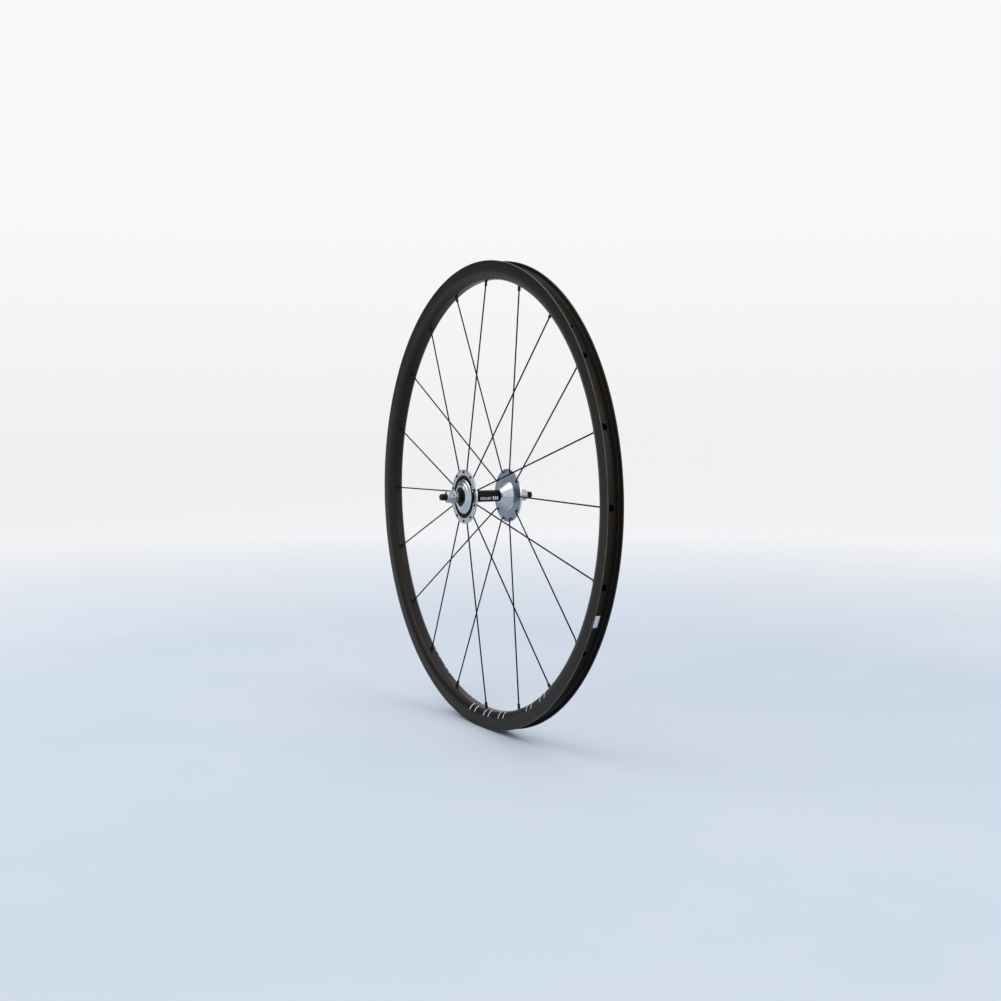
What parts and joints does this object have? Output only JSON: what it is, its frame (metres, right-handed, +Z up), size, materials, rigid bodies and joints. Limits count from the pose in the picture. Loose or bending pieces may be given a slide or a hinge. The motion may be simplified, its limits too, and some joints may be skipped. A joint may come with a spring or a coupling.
{
  "type": "bicycle front wheel",
  "caption": "Front bicycle wheel without a tyre: deep double-wall rim, radial spokes and a high-flange hub on sealed bearings with a bolt-on axle.",
  "frame": {"origin": "centre of the wheel, on the axle and half way between the flanges", "axes": "+Y along the axle to the right-hand axle nut, +Z up, +X across the wheel; the wheel lies in the XZ plane"},
  "size_m": [0.6329, 0.14, 0.633],
  "materials": {
    "anodised_rim": "satin",
    "plain_alloy": "satin",
    "black_shell": "gloss",
    "black_axle": "satin",
    "polished_alloy": "polished",
    "race_steel": "satin",
    "ball_steel": "polished",
    "seal_rubber": "matte",
    "cage_steel": "satin",
    "black_plastic": "matte",
    "black_cone": "satin",
    "nut_steel": "polished",
    "spoke_black": "satin",
    "nipple_black": "satin"
  },
  "bodies": {
    "axle_assembly": {"axle": "black_axle", "bearing_inner_race_left": "race_steel", "cone_left": "black_cone", "lock_washer_left": "nut_steel", "locknut_left": "nut_steel", "bearing_inner_race_right": "race_steel", "cone_right": "black_cone", "lock_washer_right": "nut_steel", "locknut_right": "nut_steel"},
    "wheel": {"rim": "anodised_rim", "rim_joint_sleeve": "plain_alloy", "hub_barrel": "black_shell", "hub_flange_left": "polished_alloy", "bearing_outer_race_left": "race_steel", "bearing_outer_seal_left": "seal_rubber", "bearing_inner_seal_left": "seal_rubber", "dust_cap_left": "black_plastic", "nipples_left": "nipple_black", "hub_flange_right": "polished_alloy", "bearing_outer_race_right": "race_steel", "bearing_outer_seal_right": "seal_rubber", "bearing_inner_seal_right": "seal_rubber", "dust_cap_right": "black_plastic", "nipples_right": "nipple_black", "spoke_left_01": "spoke_black", "spoke_left_02": "spoke_black", "spoke_left_03": "spoke_black", "spoke_left_04": "spoke_black", "spoke_left_05": "spoke_black", "spoke_left_06": "spoke_black", "spoke_left_07": "spoke_black", "spoke_left_08": "spoke_black", "spoke_left_09": "spoke_black", "spoke_left_10": "spoke_black", "spoke_right_01": "spoke_black", "spoke_right_02": "spoke_black", "spoke_right_03": "spoke_black", "spoke_right_04": "spoke_black", "spoke_right_05": "spoke_black", "spoke_right_06": "spoke_black", "spoke_right_07": "spoke_black", "spoke_right_08": "spoke_black", "spoke_right_09": "spoke_black", "spoke_right_10": "spoke_black"},
    "ball_set_left": {"bearing_balls_left": "ball_steel", "bearing_cage_left": "cage_steel"},
    "nut_washer_left": {"nut_washer_left": "nut_steel"},
    "axle_nut_left": {"axle_nut_left": "nut_steel"},
    "ball_set_right": {"bearing_balls_right": "ball_steel", "bearing_cage_right": "cage_steel"},
    "nut_washer_right": {"nut_washer_right": "nut_steel"},
    "axle_nut_right": {"axle_nut_right": "nut_steel"}
  },
  "joints": [
    {"name": "wheel_spin", "type": "hinge", "parent": "axle_assembly", "child": "wheel", "pos_m": [0, 0, 0], "axis": [0, 1, 0], "continuous": true},
    {"name": "ball_orbit_left", "type": "hinge", "parent": "axle_assembly", "child": "ball_set_left", "pos_m": [0, -0.0353, 0], "axis": [0, 1, 0], "continuous": true},
    {"name": "ball_orbit_right", "type": "hinge", "parent": "axle_assembly", "child": "ball_set_right", "pos_m": [0, 0.0353, 0], "axis": [0, 1, 0], "continuous": true},
    {"name": "washer_travel_left", "type": "slide", "parent": "axle_assembly", "child": "nut_washer_left", "axis": [0, -1, 0], "range_m": [0, 0.01]},
    {"name": "nut_turn_left", "type": "hinge", "parent": "nut_washer_left", "child": "axle_nut_left", "pos_m": [0, -0.057, 0], "axis": [0, -1, 0], "range_deg": [0, 3600]},
    {"name": "washer_travel_right", "type": "slide", "parent": "axle_assembly", "child": "nut_washer_right", "axis": [0, 1, 0], "range_m": [0, 0.01]},
    {"name": "nut_turn_right", "type": "hinge", "parent": "nut_washer_right", "child": "axle_nut_right", "pos_m": [0, 0.057, 0], "axis": [0, 1, 0], "range_deg": [0, 3600]}
  ],
  "couplings": [
    {"joint": "ball_orbit_left", "follows": "wheel_spin", "ratio": 0.63228},
    {"joint": "ball_orbit_right", "follows": "wheel_spin", "ratio": 0.63228},
    {"joint": "washer_travel_left", "follows": "nut_turn_left", "m_per_rad": 0.00015915},
    {"joint": "washer_travel_right", "follows": "nut_turn_right", "m_per_rad": 0.00015915}
  ]
}
